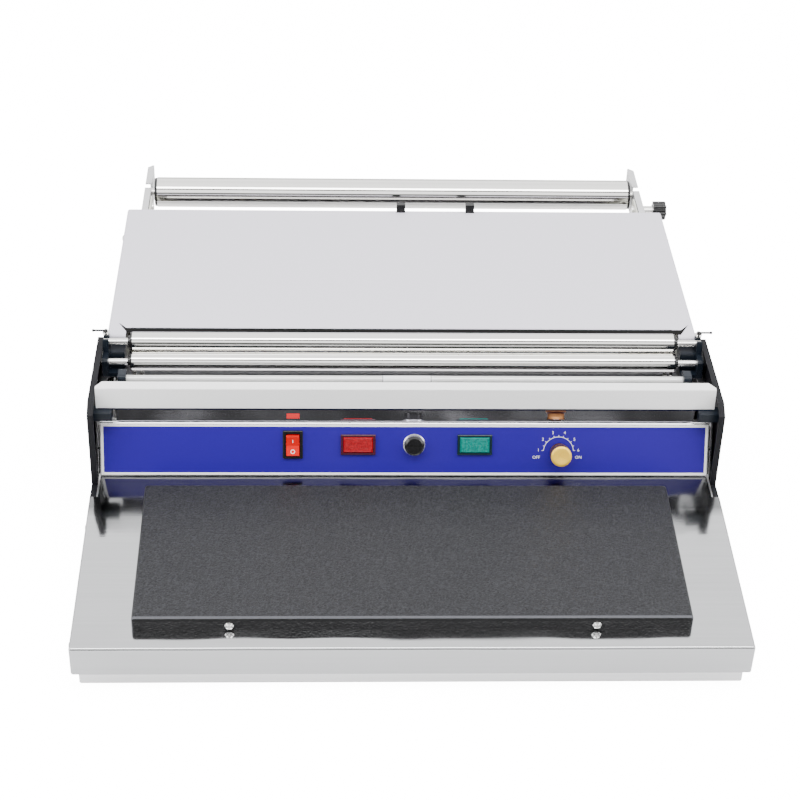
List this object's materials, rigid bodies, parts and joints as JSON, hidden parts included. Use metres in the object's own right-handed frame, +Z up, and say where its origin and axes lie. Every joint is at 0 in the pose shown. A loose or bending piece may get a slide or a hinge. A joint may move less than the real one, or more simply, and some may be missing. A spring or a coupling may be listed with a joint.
{
  "type": "cling film wrapping machine",
  "caption": "Bench wrapping machine with a sloped hot plate tray, leaning control panel, cutter rod, film rollers, flat wrap table and a sliding roll cradle at the rear.",
  "frame": {"origin": "on the table under the middle of the machine's overall box", "axes": "+X to the operator's right, +Y from the tray to the rear rollers, +Z up"},
  "size_m": [0.524, 0.626, 0.137],
  "materials": {
    "pan_steel": "satin folded sheet",
    "foot_rubber": "matt",
    "tray_steel": "polished stainless sheet",
    "hot_plate_black": "pebbled semi-gloss non-stick coating",
    "bracket_steel": "bright zinc",
    "heater_mat": "silicone",
    "insulation_board": "pressed fibre",
    "panel_steel": "brushed",
    "overlay_blue": "printed film, blue with a white border",
    "visor_steel": "mirror-bright and light brushed",
    "black_plastic": "moulded black",
    "rocker_red": "translucent red",
    "bezel_grey": "moulded dark grey",
    "lens_red": "ribbed translucent",
    "lens_green": "ribbed translucent",
    "fuse_glass": "clear tube",
    "regulator_brown": "phenolic",
    "shaft_steel": "turned",
    "knob_brass": "polished",
    "core_iron": "varnished laminations",
    "coil_wrap": "taped winding",
    "terminal_white": "moulded",
    "side_black": "charcoal powder coat",
    "cutter_coating": "light coated rod",
    "block_navy": "machined dark plastic",
    "roller_chrome": "polished",
    "roller_end_black": "turned end cap",
    "cover_steel": "light satin stainless",
    "frame_beige": "satin",
    "arm_grey": "satin"
  },
  "bodies": {
    "machine": {"bottom_pan": "pan_steel", "rear_side_left": "pan_steel", "rear_side_right": "pan_steel", "rubber_feet": "foot_rubber", "tray": "tray_steel", "control_box_sides": "tray_steel", "hot_plate": "hot_plate_black", "hot_plate_brackets": "bracket_steel", "cross_member": "bracket_steel", "heater_element": "heater_mat", "heater_insulation": "insulation_board", "control_panel": "panel_steel", "panel_overlay": "overlay_blue", "control_box_cover": "visor_steel", "guard_bar": "visor_steel", "switch_housing": "black_plastic", "fuse_holder": "black_plastic", "guard_end_blocks": "black_plastic", "cover_clips": "black_plastic", "power_inlet": "black_plastic", "cutter_holders": "black_plastic", "indicator_bezels": "bezel_grey", "red_indicator_lens": "lens_red", "green_indicator_lens": "lens_green", "regulator_body": "regulator_brown", "upper_axle": "shaft_steel", "lower_axle": "shaft_steel", "cradle_axle": "shaft_steel", "carriage_pins": "shaft_steel", "pan_head_screws": "shaft_steel", "transformer_core": "core_iron", "transformer_coil": "coil_wrap", "terminal_block": "terminal_white", "side_plate_left": "side_black", "side_plate_right": "side_black", "cutter_rod": "cutter_coating", "bearing_block_left": "block_navy", "bearing_block_right": "block_navy", "cover": "cover_steel", "cradle_frame_left": "frame_beige", "cradle_frame_right": "frame_beige"},
    "switch_rocker_body": {"switch_rocker": "rocker_red"},
    "fuse_carrier": {"fuse_cap": "black_plastic", "fuse_link": "fuse_glass"},
    "regulator_knob": {"knob": "knob_brass", "regulator_shaft": "shaft_steel"},
    "upper_film_roller": {"upper_roller": "roller_chrome", "upper_roller_ends": "roller_end_black"},
    "lower_film_roller": {"lower_roller": "roller_chrome", "lower_roller_ends": "roller_end_black"},
    "cradle_film_roller": {"cradle_roller": "roller_chrome"},
    "rear_carriage": {"slide_arm_left": "arm_grey", "slide_arm_right": "arm_grey", "rear_axle": "shaft_steel"},
    "rear_film_roller": {"rear_roller": "roller_chrome", "rear_roller_ends": "black_plastic"},
    "clamp_knob": {"star_knob": "black_plastic"},
    "left_latch": {"latch_lever_left": "shaft_steel"},
    "right_latch": {"latch_lever_right": "shaft_steel"}
  },
  "joints": [
    {"name": "power_rocker", "type": "hinge", "parent": "machine", "child": "switch_rocker_body", "pos_m": [-0.093, -0.10563, 0.08203], "axis": [-1, 0, 0], "range_deg": [0, 18]},
    {"name": "fuse_cap_turn", "type": "hinge", "parent": "machine", "child": "fuse_carrier", "pos_m": [0.0066, -0.10471, 0.08164], "axis": [0, -0.9219, 0.3875], "range_deg": [0, 45]},
    {"name": "heat_knob", "type": "hinge", "parent": "machine", "child": "regulator_knob", "pos_m": [0.1263, -0.107, 0.0762], "axis": [0, 0.9219, -0.3875], "range_deg": [0, 300]},
    {"name": "upper_roller_spin", "type": "hinge", "parent": "machine", "child": "upper_film_roller", "pos_m": [0, -0.0225, 0.1282], "axis": [1, 0, 0], "continuous": true},
    {"name": "lower_roller_spin", "type": "hinge", "parent": "machine", "child": "lower_film_roller", "pos_m": [0, -0.034, 0.1158], "axis": [1, 0, 0], "continuous": true},
    {"name": "cradle_roller_spin", "type": "hinge", "parent": "machine", "child": "cradle_film_roller", "pos_m": [0, 0.187, 0.098], "axis": [1, 0, 0], "continuous": true},
    {"name": "carriage_slide", "type": "slide", "parent": "machine", "child": "rear_carriage", "axis": [0, 1, 0], "range_m": [0, 0.05]},
    {"name": "rear_roller_spin", "type": "hinge", "parent": "rear_carriage", "child": "rear_film_roller", "pos_m": [0, 0.2715, 0.11], "axis": [1, 0, 0], "continuous": true},
    {"name": "clamp_knob_turn", "type": "hinge", "parent": "machine", "child": "clamp_knob", "pos_m": [0.25575, 0.243, 0.109], "axis": [-1, 0, 0], "range_deg": [0, 270]},
    {"name": "left_latch_turn", "type": "hinge", "parent": "machine", "child": "left_latch", "pos_m": [-0.2501, -0.0172, 0.13], "axis": [0, 0, 1], "range_deg": [0, 90]},
    {"name": "right_latch_turn", "type": "hinge", "parent": "machine", "child": "right_latch", "pos_m": [0.2501, -0.0172, 0.13], "axis": [0, 0, -1], "range_deg": [0, 90]}
  ]
}
